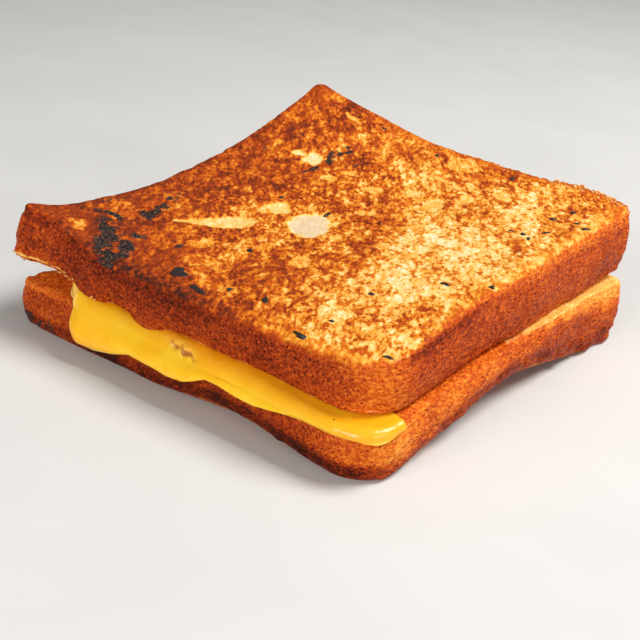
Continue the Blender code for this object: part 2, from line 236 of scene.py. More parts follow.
def fade(distance, reach):
    """1 at no distance, easing to 0 at a reach."""
    return ease(1 - distance / reach)


def lower_under(x, y):
    """Flat in the middle, with the right and front edges and the back left corner curling up."""
    def curl(size, along, inward):
        share = fade(np.abs(along - size["at"]), size["span"])
        return size["lift"] * share * np.clip(1 - inward / size["reach"], 0, 1.1) ** 1.8

    z = np.maximum(curl(CURL_RIGHT, y, HALF_X + 1 - x), curl(CURL_FRONT, x, y + HALF_Y + 1))
    far = np.hypot(x + HALF_X, y - HALF_Y) / CURL_BACK_LEFT["reach"]
    return np.maximum(z, CURL_BACK_LEFT["lift"] * np.clip(1 - far, 0, 1) ** 1.6)


def wander(x, y, seed):
    """The slight waver of a soft loaf's sides, as a shift in x and y."""
    k = 0.045
    dx = 0.55 * np.sin(k * y * 1.3 + seed) + 0.25 * np.sin(k * y * 3.7 + 2.1 * seed)
    dy = 0.50 * np.sin(k * x * 1.2 + 1.7 * seed) + 0.25 * np.sin(k * x * 3.9 + seed)
    return x + dx * (x / HALF_X) ** 2 * np.sign(x), y + dy * (y / HALF_Y) ** 2 * np.sign(y)


def plan(u, v, inset, corners):
    """Unit-square coordinates to the rounded plan of a slice, drawn in by inset."""
    half_x, half_y = HALF_X - inset, HALF_Y - inset
    x, y = u * half_x, v * half_y
    for (side_x, side_y), (radius, _, _) in corners.items():
        r = radius - inset
        s = (x * side_x - (half_x - r)) / r
        t = (y * side_y - (half_y - r)) / r
        inside = (s > 0) & (t > 0)
        s, t = np.clip(s, 0, 1), np.clip(t, 0, 1)
        x = np.where(inside, side_x * (half_x - r + r * s * np.sqrt(1 - t * t / 2)), x)
        y = np.where(inside, side_y * (half_y - r + r * t * np.sqrt(1 - s * s / 2)), y)
    return draw_out(x, y, corners)


def draw_out(x, y, corners):
    """Moves the plan out towards the corners that stick out."""
    move_x, move_y = np.zeros(np.shape(x)), np.zeros(np.shape(x))
    for (side_x, side_y), (_, out_x, out_y) in corners.items():
        near = np.clip(x * side_x / HALF_X, 0, 1.05) ** 5 * np.clip(y * side_y / HALF_Y, 0, 1.05) ** 5
        move_x, move_y = move_x + side_x * out_x * near, move_y + side_y * out_y * near
    return x + move_x, y + move_y


def to_lower(x, y):
    """The lower slice's own plan to the sandwich's."""
    c, s = math.cos(LOWER_TURN), math.sin(LOWER_TURN)
    return c * x - s * y + LOWER_SHIFT[0], s * x + c * y + LOWER_SHIFT[1]


def same_place(x, y):
    return x, y


# ---- Fine meshes ----
class Surface:
    """A closed mesh of quads in millimetres, with what each vertex needs for its looks."""

    def __init__(self):
        self.points, self.quads, self.uvs = [], [], []
        self.info = {}
        self.count = 0

    def add(self, x, y, z, **info):
        x = np.ravel(x)
        self.points.append(np.stack([x, np.ravel(y), np.ravel(z)], axis=1))
        for key, value in info.items():
            self.info.setdefault(key, []).append(np.broadcast_to(np.ravel(value), x.shape).astype(float))
        first = self.count
        self.count += len(x)
        return first + np.arange(len(x))

    def join(self, quads, uvs):
        """Adds quads (n, 4) with a texture place for each corner (n, 4, 2)."""
        self.quads.append(np.asarray(quads))
        self.uvs.append(np.asarray(uvs, float))

    def band(self, one, two, uvs):
        """Joins two loops of points by a band of quads."""
        self.join(np.stack([one, np.roll(one, -1), np.roll(two, -1), two], -1), uvs)

    def close(self, loop, places, turned):
        """Closes a loop of points by quads straight across it."""
        n = len(loop)
        a = np.arange(n // 2 - 1)
        at = np.stack([a, n - 1 - a, n - 2 - a, a + 1], -1)
        at = at[:, ::-1] if turned else at
        self.join(loop[at], places[at])

    def done(self):
        self.points = np.concatenate(self.points)
        self.quads, self.uvs = np.concatenate(self.quads), np.concatenate(self.uvs)
        self.info = {key: np.concatenate(value) for key, value in self.info.items()}
        return self

    def normals(self):
        a, b, c, d = (self.points[self.quads[:, k]] for k in range(4))
        across = np.cross(c - a, d - b)
        total = np.zeros_like(self.points)
        for k in range(4):
            np.add.at(total, self.quads[:, k], across)
        return total / np.maximum(np.linalg.norm(total, axis=1, keepdims=True), 1e-12)


def edge_walk(n):
    """Grid steps round an n by n grid: front, right, back and left side."""
    up = np.arange(n - 1)
    last, none = np.full(n - 1, n - 1), np.zeros(n - 1, int)
    return np.concatenate([up, last, n - 1 - up, none]), np.concatenate([none, up, last, n - 1 - up])


# Texture places: the toasted upper face takes the biggest part, the crusts are strips beside it.
FACE_UV, STRIP_UV, UNDER_UV = 0.72, 0.075, 0.26
UV_GAP = 0.008


def strip_place(side, along, down):
    """The texture place of a crust point: side 0 to 3, along the side 0 to 1 and down it 0 to 1."""
    left = FACE_UV + 2 * UV_GAP + side * (STRIP_UV - 0.006)
    return np.stack([left + (STRIP_UV - 0.014) * down, UV_GAP + (1 - 2 * UV_GAP) * along], axis=-1)


def slice_surface(top, under, rims, seed, corners, place, lines, grid_top):
    """A slice as a fine closed surface.

    info: up, crust and low are the shares of the upper face, crust and lower face, side is 0 to 3 for the front,
    right, back and left, and down is the share down the crust.
    """
    made = Surface()
    line = np.linspace(-1, 1, lines)
    wi, wj = edge_walk(lines)
    ru, rv = line[wi], line[wj]
    m = len(ru)
    rim_top, rim_under = rims
    side = np.repeat(np.arange(4.0), lines - 1)

    def ring(inset, height, scale=1.0, **info):
        x, y = plan(ru * scale, rv * scale, inset, corners)
        x, y = place(*wander(x, y, seed))
        return made.add(x, y, height(x, y), side=side, **info)

    def bend(turns, radius, height, sign, key, **info):
        """Rings round a rim, from the face whose share is kept under key to the crust, or back."""
        for turn in turns[1:-1]:
            share = turn / (math.pi / 2)
            rings.append(ring(radius * (1 - math.sin(turn)),
                              lambda x, y: height(x, y) + sign * radius * (1 - math.cos(turn)),
                              **{**info, key: 1 - share, "crust": share}))

    upper, lower = dict(up=1, crust=0, low=0, down=0), dict(up=0, crust=0, low=1, down=1)
    rings = []
    cap_scales = 1 - np.linspace(1, 0, CAP_RINGS) ** CAP_CROWDING * (1 - SMALLEST_RING)
    if grid_top:
        gu, gv = np.meshgrid(line, line, indexing="ij")
        x, y = plan(gu, gv, rim_top, corners)
        x, y = place(*wander(x, y, seed))
        cap = made.add(x, y, top(x, y), side=np.zeros(x.size), **upper).reshape(lines, lines)
        uv = np.stack([(gu + 1) / 2, (gv + 1) / 2], -1) * (FACE_UV - 4 * UV_GAP) + 2 * UV_GAP
        uv[..., 1] += UNDER_UV
        made.join(*(np.stack([a[:-1, :-1], a[1:, :-1], a[1:, 1:], a[:-1, 1:]], 2).reshape(-1, 4, *a.shape[2:])
                    for a in (cap, uv)))
        rings.append(cap[wi, wj])
    else:
        for scale in cap_scales:
            rings.append(ring(rim_top, top, scale, **upper))
    caps = len(rings) - 1
    bend(np.linspace(0, math.pi / 2, RIM_RINGS + 1), rim_top, top, -1, "up", low=0, down=0)
    for share in np.linspace(0, 1, SIDE_RINGS + 1):
        def between(x, y):
            high, low = top(x, y) - rim_top, under(x, y) + rim_under
            return high + (low - high) * share
        rings.append(ring(-CRUST_SWELL * math.sin(math.pi * share), between, up=0, crust=1, low=0, down=share))
    bend(np.linspace(math.pi / 2, 0, RIM_RINGS + 1), rim_under, under, 1, "low", up=0, down=1)
    sides = len(rings)
    under_scales = 1 - np.linspace(0, 1, UNDER_RINGS) ** UNDER_CROWDING * (1 - SMALLEST_RING)
    for scale in under_scales:
        rings.append(ring(rim_under, under, scale, **lower))

    k = np.arange(m)
    along = (k % (lines - 1)) / (lines - 1)
    beyond = along + 1 / (lines - 1)

    def flat(x0, scale):
        """Texture places of a ring on a face, the square's left edge at x0."""
        size = UNDER_UV - 2 * UV_GAP
        return np.stack([x0 + size * (ru * scale + 1) / 2, UV_GAP + size * (rv * scale + 1) / 2], -1)

    def ring_places(r, part):
        """Texture places at and just after each point of ring r, seen from one part of the slice."""
        if part == "wall":
            down = (r - caps) / (sides - caps)
            return strip_place(side, along, down), strip_place(side, beyond, down)
        at = flat(UV_GAP, cap_scales[r]) if part == "cap" else flat(UNDER_UV + UV_GAP, under_scales[r - sides])
        return at, np.roll(at, -1, axis=0)

    for r, (one, two) in enumerate(zip(rings, rings[1:])):
        part = "cap" if r < caps else "wall" if r < sides else "under"
        (here, after), (here_next, after_next) = ring_places(r, part), ring_places(r + 1, part)
        made.join(np.stack([one, two, np.roll(two, -1), np.roll(one, -1)], -1),
                  np.stack([here, here_next, after_next, after], 1))

    if not grid_top:
        made.close(rings[0], flat(UV_GAP, SMALLEST_RING), True)
    made.close(rings[-1], flat(UNDER_UV + UV_GAP, SMALLEST_RING), False)
    return made.done()


# ---- What grows on the bread ----
SLICE_FIELDS = ("up", "crust", "low", "down", "side")
BREAD_FIELDS = ("toast", "crust", "crumb", "char", "pale", "calm")


def spot(x, y, at, soft=0.25):
    """1 inside an oval (x, y, half length, half width, turn), easing to 0 round it."""
    cx, cy, length, width, turn = at
    c, s = math.cos(math.radians(turn)), math.sin(math.radians(turn))
    u, v = ((x - cx) * c + (y - cy) * s) / length, (-(x - cx) * s + (y - cy) * c) / width
    return ease((1 + soft - np.hypot(u, v)) / (2 * soft))


def wedge(x, y, at, soft=0.3):
    """1 along a stroke that widens from one end to the other (x, y, half width, x, y, half width)."""
    x0, y0, w0, x1, y1, w1 = at
    t = np.clip(((x - x0) * (x1 - x0) + (y - y0) * (y1 - y0)) / ((x1 - x0) ** 2 + (y1 - y0) ** 2), 0, 1)
    away = np.hypot(x - x0 - t * (x1 - x0), y - y0 - t * (y1 - y0)) / (w0 + (w1 - w0) * t)
    return ease((1 + soft - away) / (2 * soft))


def near(x, y, at, reach):
    """1 at a place, easing to 0 at a reach from it."""
    return fade(np.hypot(x - at[0], y - at[1]), reach)


def toast_level(x, y):
    """How toasted the upper face is, as a smooth blend of its areas."""
    total, share = 0.0, 0.0
    for cx, cy, level in TOAST_AREAS:
        w = np.exp(-((x - cx) ** 2 + (y - cy) ** 2) / TOAST_SPREAD**2) + 1e-9
        total, share = total + w * level, share + w
    return total / share


def right_share(x, y, front, right):
    """0 on the front side and 1 on the right side, easing round the near right corner between them."""
    start = HALF_X - NEAR_R - HALF_Y
    return ease((x + y - start) / (2 * NEAR_R)) * (front | right)


def upper_looks(made):
    """Moves the upper slice's skin and sets toast, crust, crumb, char and pale on it."""
    p, info = made.points, made.info
    x, y = p[:, 0], p[:, 1]
    xw, yw = x + 1.3 * layered(p, 5.0, 2, 41), y + 1.3 * layered(p, 5.0, 2, 42)
    up, crust, low, down, side = (info[key] for key in SLICE_FIELDS)
    dx, dy = 0.8 * layered(p, 2.4, 2, 43), 0.8 * layered(p, 2.4, 2, 44)
    toast = toast_level(x, y)
    pale, char = np.zeros(len(p)), np.zeros(len(p))
    for *at, strength in PALE_SPOTS:
        pale = np.maximum(pale, strength * spot(x + dx, y + dy, at, 0.22))
    for *at, strength in PALE_WEDGES:
        pale = np.maximum(pale, strength * wedge(x + 0.6 * dx, y + 0.6 * dy, at))
    for x0, y0, x1, y1, width, strength in CHAR_STROKES:
        char = np.maximum(char, strength * wedge(xw, yw, (x0, y0, width, x1, y1, width), 0.9))
    rough = layered(p, 2.2, 3, 5)
    char *= ease(0.74 + 0.8 * rough)
    pale, char = pale * (up > 0.99), char * (up > 0.3)

    move = up * (0.30 * layered(p, 9.0, 2, 3) + 0.13 * rough + 0.06 * layered(p, 0.9, 2, 7))
    move -= up * 0.5 * pale
    move += up * 0.25 * char * layered(p, 1.6, 2, 8)
    edge_near = fade(np.minimum(HALF_X - np.abs(x), HALF_Y - np.abs(y)), 6.0)
    move -= up * edge_near * 0.35 * np.maximum(0, layered(p, 3.0, 2, 17))
    move += crust * crust_relief(p, 21)
    ragged = ease((np.abs(y - HALF_Y) < 5) * ease((x + 20) / 60.0)) * ease(1.6 - 3 * down)
    move += 0.75 * ragged * np.maximum(0, layered(p, 2.0, 3, 61)) * (up > 0)
    lip = near(x, y, NEAR_LEFT, 34.0)
    low_rim = ease(1 - 9 * np.abs(down - 0.97)) * (low < 0.9)
    move += lip * low_rim * (0.9 + 0.7 * layered(p, 2.4, 3, 31)) + low_rim * 0.25 * layered(p, 3.0, 2, 33)

    # The crusts: dark from the near left corner to the middle of the front, light round the near right.
    front, right, back = side == 0, side == 1, side == 2
    near_right = ease((x - 34) / 18.0) * ease((-y - 44) / 12.0)
    rightward = right_share(x, y, front, right)
    wall = np.select([front | right, back], [0.74 - 0.12 * rightward, 0.60], 0.68)
    wall += front * (0.10 * ease(1 - down * 4) * ease((30 - x) / 30.0) - 0.05 * ease((down - 0.6) * 3))
    wall -= 0.18 * near_right * (1 + 0.5 * ease(1 - 3 * down))
    wall += rightward * 0.16 * ease(1 - 5 * down) * ease((-y - 8) / 30.0)
    wall -= right * 0.16 * ease(1 - 6 * down) * ease((y + 25) / 30.0)
    streaks = layered(p, (1.6, 1.6, 9.0), 2, 72)
    wall = wall + 0.06 * layered(p, 8.0, 2, 71) - ease((-38 - x) / 12.0) * front * (0.08 + 0.12 * streaks)
    halo = np.maximum(fade(HALF_X - x, 7.0) * ease((y + 46) / 20.0),
                      fade(HALF_Y + y, 7.0) * ease((x - 8) / 20.0))
    back_halo = fade(HALF_Y - y, 7.0) * ease((x + 40) / 20.0)
    toast += (0.41 - toast) * 0.75 * halo
    toast += (0.47 - toast) * 0.75 * back_halo
    toast += 0.20 * fade(HALF_Y - y, 3.6) * ease(0.6 + 1.2 * layered(p, 6.0, 2, 51)) * up
    dark_rim = fade(y + HALF_Y, 5.5) * ease((24 - x) / 24.0) + 0.7 * fade(HALF_X + x, 5.0)
    toast += 0.12 * np.clip(dark_rim, 0, 1) * up
    info["toast"] = np.where(up > 0.99, toast, up * toast + (1 - up) * wall)
    info["crust"] = np.clip(1 - up - low * 0.9, 0, 1)
    info["crumb"] = np.clip(low + 0.85 * lip * ease(1 - 7 * np.abs(down - 1.0)) * (low == 0)
                            + 0.5 * near_right * ease(1 - 9 * np.abs(down - 1.0)) * (low == 0), 0, 1)
    info["char"], info["pale"] = char, pale
    glazed = np.maximum(near(x, y, (-HALF_X, HALF_Y), 16.0), 0.7 * near(x, y, (-54, -56), 24.0))
    info["calm"] = np.maximum(np.maximum(halo, back_halo), glazed) * up
    sag = sum(depth * np.exp(-(((x - middle) / half) ** 2)) for middle, half, depth in SAGS)
    sag = sag * fade(y + HALF_Y - 1, 3.0) * np.where(low > 0, 1.0, np.clip(down, 0, 1) ** 1.5)
    flare = LIP_FLARE * near(x, y, (-57, -60), 17.0) * np.clip(down, 0, 1) ** 1.6 * (1 - 0.6 * low)
    made.points = p + made.normals() * move[:, None] + flare[:, None] * np.array([-0.92, -0.38, 0.0])
    made.points += sag[:, None] * np.array([0.0, -0.6, -1.0])
    return made


def crust_relief(p, seed):
    """The pebbled skin of a crust with its shallow pores and folds."""
    fine = 0.10 * layered(p, 0.95, 2, seed) + 0.10 * layered(p, (3.4, 3.4, 1.3), 2, seed + 1)
    pores = fade(pits(p, 2.6, seed + 2), 0.26)
    return fine + 0.22 * layered(p, 7.0, 2, seed + 3) - 0.28 * pores


def lower_looks(made):
    """The same for the lower slice, whose upper edge shows a band of bare crumb on the right side."""
    p, info = made.points, made.info
    x, y = p[:, 0], p[:, 1]
    up, crust, low, down, side = (info[key] for key in SLICE_FIELDS)
    front, right, back, left = (side == k for k in range(4))
    near_right = ease((x - 30) / 20.0) * ease((-y - 38) / 16.0)
    rightward = right_share(x, y, front, right)
    wall = np.select([front | right, back], [0.72 - 0.12 * rightward, 0.60], 0.62) + 0.10 * layered(p, 7.0, 2, 77)
    wall = wall - 0.21 * near_right * ease(2.4 * (1 - down)) - 0.10 * left
    wall += (0.20 - 0.11 * rightward) * ease(down * 3 - 1.9)
    wall += rightward * (0.02 - 0.12 * ease((30 - y) / 50.0) * ease(1.9 - 2 * down))
    scorch = near(x, y, (-50, -59), 12.0) * ease(down * 3.0 - 1.7)
    wave = 0.07 * layered(p, 4.5, 2, 79)
    band = right * 0.34 * ease((y + 14) / 64.0) + (left | back) * 0.22
    glow = ease((band + 0.10 + wave - down) / 0.40) * ease(band / 0.08) * (1 - low)
    near_left = near(x, y, NEAR_LEFT, 30.0)
    pressed = np.maximum(ease((x - 48) / 4.0) * ease((22 - y) / 40.0), ease((-y - 50) / 4.0))
    info["crumb"] = up * (1 - 0.5 * near_left) * (1 - 0.85 * pressed)
    info["crust"] = np.clip(1 - up * (1 - pressed) - low, 0, 1)
    wall = wall - near_left * (0.13 + 0.20 * ease(1 - 7 * down)) + (0.20 - wall) * glow
    info["toast"] = np.where(up > 0.5, 0.52 - 0.06 * pressed, wall)
    info["toast"] = np.where(low > 0.5, 0.66 + 0.10 * layered(p, 9.0, 2, 83), info["toast"])
    info["char"] = scorch * 0.75 * ease(0.5 + 0.9 * layered(p, 2.6, 3, 85))
    info["pale"] = info["calm"] = 0 * x

    move = crust * crust_relief(p, 23) + low * (0.10 * layered(p, 2.0, 2, 87))
    foot = ease(1 - 3.2 * np.abs(down - 0.93)) * (low < 0.6)
    move += foot * (0.55 + 0.6 * near(x, y, (57, 50), 45.0)) * layered(p, (5.0, 5.0, 3.0), 3, 89)
    move -= 0.9 * fade(pits(p * (1, 1, 0.5), 9.0, 91), 0.22) * foot * right
    rim = ease(1 - 8 * np.abs(down - 0.02))
    move += rim * (up < 1) * 0.4 * layered(p, 2.2, 3, 93) * (right | left | back)
    move += near(x, y, NEAR_LEFT, 20.0) * rim * 0.6 * (0.4 + layered(p, 2.6, 2, 95))
    made.points = p + made.normals() * (move * (low <= 0.9))[:, None]
    made.points[:, 2] = np.maximum(made.points[:, 2], 0.02)
    return made


# ---- Cheese ----
CHEESE_FIELDS = ("tear", "skin", "shade")


def own_to_sandwich(x, y):
    """A point of the lower slice's own plan, with the same drawing out and waver as its crust."""
    return to_lower(*wander(*draw_out(np.asarray(x, float), np.asarray(y, float), LOWER_CORNERS), LOWER_SEED))


def along_edge(along, out):
    """Own plan position at a distance along the front edge, out from the line through the corner's centre."""
    centre_x, centre_y = HALF_X - NEAR_R, -(HALF_Y - NEAR_R)
    turn = max(0.0, along - centre_x) / NEAR_R
    pivot = NEAR_R - INNER_RIM - FLAT_LENGTH
    near = np.minimum(out, pivot)
    x = min(along, centre_x) + np.maximum(out, pivot) * math.sin(turn)
    y = centre_y - np.maximum(out, pivot) * math.cos(turn) - (near - pivot)
    return x, y


def cheese_section(along, pull, rim, drop, back):
    """One loop of the cheese: the layer, then the run bent over the lower slice's front edge."""
    def at(out):
        return own_to_sandwich(*along_edge(along, np.asarray(out, float)))

    flat, bend, fall_points, layer = (LOOP_POINTS[key] for key in ("flat", "rim", "side", "layer"))
    start, edge = NEAR_R - INNER_RIM - FLAT_LENGTH - pull, NEAR_R - INNER_RIM - pull
    r = INNER_RIM + CLEAR
    shelf = float(lower_top(*at(edge)))
    thick = np.interp(along, *zip(*RUN_THICK)) * (0.3 + 0.7 * drop)
    tip = np.interp(along, *zip(*RUN_TIPS))
    fall = max(shelf - INNER_RIM - tip - 0.4 * thick, 0.0) * drop
    k = np.arange(flat)
    out_flat = start + (edge - start) * k / flat
    z_flat = lower_top(*at(out_flat)) + CLEAR
    a = 0.5 * math.pi * max(rim, 0.06) * np.arange(bend + 1) / bend
    out_rim, z_rim = edge + r * np.sin(a), shelf - INNER_RIM + r * np.cos(a)
    k = np.arange(1, fall_points + 1)
    down = fall * np.sin(0.5 * math.pi * k / fall_points)
    bulge = CRUST_SWELL * np.sin(math.pi * np.minimum(1.0, down / 9.0))
    out_side, z_side = out_rim[-1] + bulge + 0.003 * k, z_rim[-1] - down - 0.0015 * k
    base_out = np.concatenate([out_flat, out_rim, out_side])
    base_z = np.concatenate([z_flat, z_rim, z_side])
    no = np.concatenate([0 * out_flat, np.sin(a), 0 * out_side + 1])
    nz = np.concatenate([0 * out_flat + 1, np.cos(a), -0.12 * k / fall_points])
    swell = np.concatenate([0 * out_flat, ease((np.arange(bend + 1) + 1) / bend), 0 * out_side + 1])
    px, py = at(base_out)
    gap = upper_under(px, py) - lower_top(px, py) - CLEAR - TOP_CLEAR
    count = len(base_out)
    close = np.clip((np.arange(count) - (count - 1 - 0.45 * fall_points)) / (0.45 * fall_points), 0, 1)
    fallen = np.clip((np.arange(count) - flat - 0.5 * bend) / (0.5 * bend + 0.55 * fall_points), 0, 1)
    shoulder = 0.34 + 0.66 * ease(fallen) + 0.12 * np.sin(math.pi * fallen)
    shoulder = 0.85 + (shoulder - 0.85) * min(1.0, fall / 4.0)
    t = (gap * (1 - swell) + max(thick * rim, 0.7) * swell * shoulder) * (0.12 + 0.88 * np.sqrt(1 - close**2))
    qx, qy = at(base_out + no * t)
    inner = np.stack([px, py, base_z], 1)
    outer = np.stack([qx, qy, base_z + nz * t], 1)
    outs = start - (start - back) * (np.arange(1, layer + 1) / layer)
    lx, ly = at(outs)
    low, high = lower_top(lx, ly) + CLEAR, upper_under(lx, ly) - TOP_CLEAR
    taper = np.ones(layer)
    taper[-1] = 0.45
    middle = 0.5 * (low + high)
    under = np.stack([lx, ly, middle + (low - middle) * taper], 1)
    over = np.stack([lx, ly, middle + (high - middle) * taper], 1)
    return np.concatenate([inner[::-1], under, over[::-1], outer])


def cheese_station(along):
    """(pull, rim, drop, back) of the loop at a distance along."""
    centre_x = HALF_X - NEAR_R
    rim = float(np.clip((along - NOSE_STARTS) / (RUN_STARTS - NOSE_STARTS), 0, 1))
    start = float(np.clip((along - RUN_STARTS) / 5.0, 0, 1))
    end = float(np.clip((RUN_ENDS - along) / 7.5, 0, 1))
    drop = math.sqrt(1 - (1 - start) ** 2) * end**0.8
    share = min(1.0, abs(along) / LAYER_HALF_X)
    pull = NOSE_PULL * max(0.0, (NOSE_STARTS - along) / (NOSE_STARTS + LAYER_HALF_X)) ** 1.5
    front = -30.0 if along < 0 else -46.0
    back_y = front + (LAYER_BACK - front) * math.sqrt(max(0.0, 1 - share**7))
    if along > centre_x:
        past = along - centre_x
        back_y = front + (back_y - front) * max(0.0, 1 - past / 7.0) - 0.18 * past
    return pull, rim, drop, -(HALF_Y - NEAR_R) - back_y


def cheese_surface():
    made = Surface()
    stations, place = [], -LAYER_HALF_X
    for until, count in CHEESE_SECTIONS:
        stations.append(np.linspace(place, until, count)[:-1])
        place = until
    loops = []
    front_points = sum(LOOP_POINTS[key] for key in ("flat", "rim", "side")) + 1
    for along in np.concatenate([*stations, [place]]):
        loop = cheese_section(along, *cheese_station(along))
        shown = np.zeros(len(loop))
        shown[-front_points:] = np.linspace(0, 1, front_points)
        loops.append(made.add(*loop.T, along=along, shown=shown))
    m = len(loop)
    k = np.arange(m)
    # The outside of the run takes most of the texture's height, and the hidden layer the rest.
    width = np.where(k >= m - front_points, 3.0, 0.6)
    v = np.concatenate([[0], np.cumsum(width)]) / width.sum()
    u = np.linspace(*CHEESE_UV, len(loops))
    for s, (one, two) in enumerate(zip(loops, loops[1:])):
        here, there = (np.stack([np.full(m + 1, at), v], -1) for at in u[s:s + 2])
        made.band(one, two, np.stack([here[:-1], here[1:], there[1:], there[:-1]], 1))
    up = CAP_UV_HEIGHT * np.minimum(k, m - 1 - k) / (m // 2 - 1)
    for loop, turned, v0 in ((loops[0], False, 0.0), (loops[-1], True, 0.5)):
        made.close(loop, np.stack([np.where(k < m // 2, *CAP_UV), v0 + up], -1), turned)
    return made.done()


def cheese_looks(made):
    """Soft swells and drips in the run, a torn fold, a painted highlight along its left edge, and painted shade
    under the crust and towards its ends.
    """
    p, info = made.points, made.info
    along, shown = info["along"], info["shown"]
    z = p[:, 2]
    out = ease((shown - 0.2) / 0.3)
    move = out * (0.34 * layered(p, (11, 11, 7), 2, 101) + 0.10 * layered(p, 4.0, 1, 103))
    raised = ease((shown - 0.1) / 0.25)
    fold = spot(along, z, (-2.0, 15.3, 5.6, 1.3, -8), 0.5) * raised
    slit = z + 0.35 * np.sin(along * 1.9)
    crease = spot(along, slit, (-0.6, 14.2, 4.3, 0.55, -10), 0.6) * raised
    move += 0.5 * fold - 0.8 * crease
    info["tear"] = spot(along, slit, (0.0, 14.1, 4.2, 0.65, -10), 0.7) * raised
    # skin is a painted highlight: pale along the run's lower left edge, over its left end and on the fold.
    left = ease((-14 - along) / 14.0)
    line = fade(np.abs(shown - 0.87), 0.07)
    info["skin"] = np.clip(0.4 * ease((-35.2 - along) / 0.6) + left * line + 0.15 * fold, 0, 1) * raised
    # Painted shade: a darker band just under the upper slice's crust, and darker towards both ends of the run.
    info["shade"] = np.maximum(fade(np.abs(shown - 0.22), 0.2) * ease((along + 30) / 12.0),
                               ease((along - 40) / 10.0) + 0.35 * ease((-14 - along) / 16.0))
    made.points = p + made.normals() * move[:, None]
    return made


# ---- Small pieces ----
def lump(surface, centre, size, turn, normal, seed, rows, around):
    """A small irregular lump: rings from the bottom to the top, closed at both ends by a quad strip."""
    rng = np.random.default_rng(seed)
    normal = np.asarray(normal, float) / np.linalg.norm(normal)
    side = np.cross((0.0, 1.0, 0.0), normal)
    side /= np.linalg.norm(side)
    ahead = np.cross(normal, side)
    angle = np.linspace(0, 2 * math.pi, around, endpoint=False)
    outline = 1 + 0.25 * np.sin(2 * angle + rng.uniform(0, 6)) + 0.18 * np.sin(3 * angle + rng.uniform(0, 6))
    outline = outline * rng.uniform(0.86, 1.14, around)
    c, s = math.cos(math.radians(turn)), math.sin(math.radians(turn))
    loops = []
    for row in range(rows):
        t = -1 + 2 * (row + 0.5) / rows
        wide = math.sqrt(1 - t * t)
        u, v = outline * wide * np.cos(angle) * size[0], outline * wide * np.sin(angle) * size[1]
        w = t * size[2] * rng.uniform(0.8, 1.2, around)
        u, v = u * c - v * s, u * s + v * c
        at = np.asarray(centre) + u[:, None] * side + v[:, None] * ahead + w[:, None] * normal
        loops.append(surface.add(*at.T))
    blank = np.zeros((around, 4, 2))
    for one, two in zip(loops, loops[1:]):
        surface.band(one, two, blank)
    surface.close(loops[0], blank[:, 0], False)
    surface.close(loops[-1], blank[:, 0], True)


def flecks_surface(upper):
    """Burnt flecks pressed into the upper face."""
    made = Surface()
    skin = upper.points[upper.info["up"] > 0.99]
    for k, (x, y, length, width, turn) in enumerate(FLECKS):
        z = skin[np.argmin((skin[:, 0] - x) ** 2 + (skin[:, 1] - y) ** 2), 2]
        upright = ((upper_top(x - 1, y) - upper_top(x + 1, y)) / 2,
                   (upper_top(x, y - 1) - upper_top(x, y + 1)) / 2, 1)
        lump(made, (x, y, z - 0.02), (length, width, 0.30), turn, upright, 300 + k, rows=6, around=20)
    return made.done()


def crumbs_surface(upper):
    """Loose crumbs along the ragged back right edge and on the near left lip."""
    made, rng = Surface(), np.random.default_rng(7)
    points, normals, info = upper.points, upper.normals(), upper.info
    x, y = points[:, 0], points[:, 1]
    back_edge = (np.abs(y - HALF_Y) < 3.5) & (x > -10) & (info["up"] > 0.4)
    right_corner = back_edge & (x > 30)
    lip = (np.hypot(x + 55, y + 60) < 26) & (np.abs(info["down"] - 0.97) < 0.05) & (info["up"] == 0)
    for where, count, small, big in ((back_edge, 60, 0.18, 0.42), (right_corner, 46, 0.22, 0.60),
                                     (lip, 70, 0.20, 0.50)):
        for k in rng.choice(np.flatnonzero(where), count, replace=False):
            size = rng.uniform(small, big)
            lump(made, points[k] + normals[k] * size * 0.25, (size, size * rng.uniform(.6, 1), size * .7),
                 rng.uniform(0, 180), normals[k] + (0, 0, 0.3), int(rng.integers(1 << 30)), rows=4, around=8)
    return made.done()


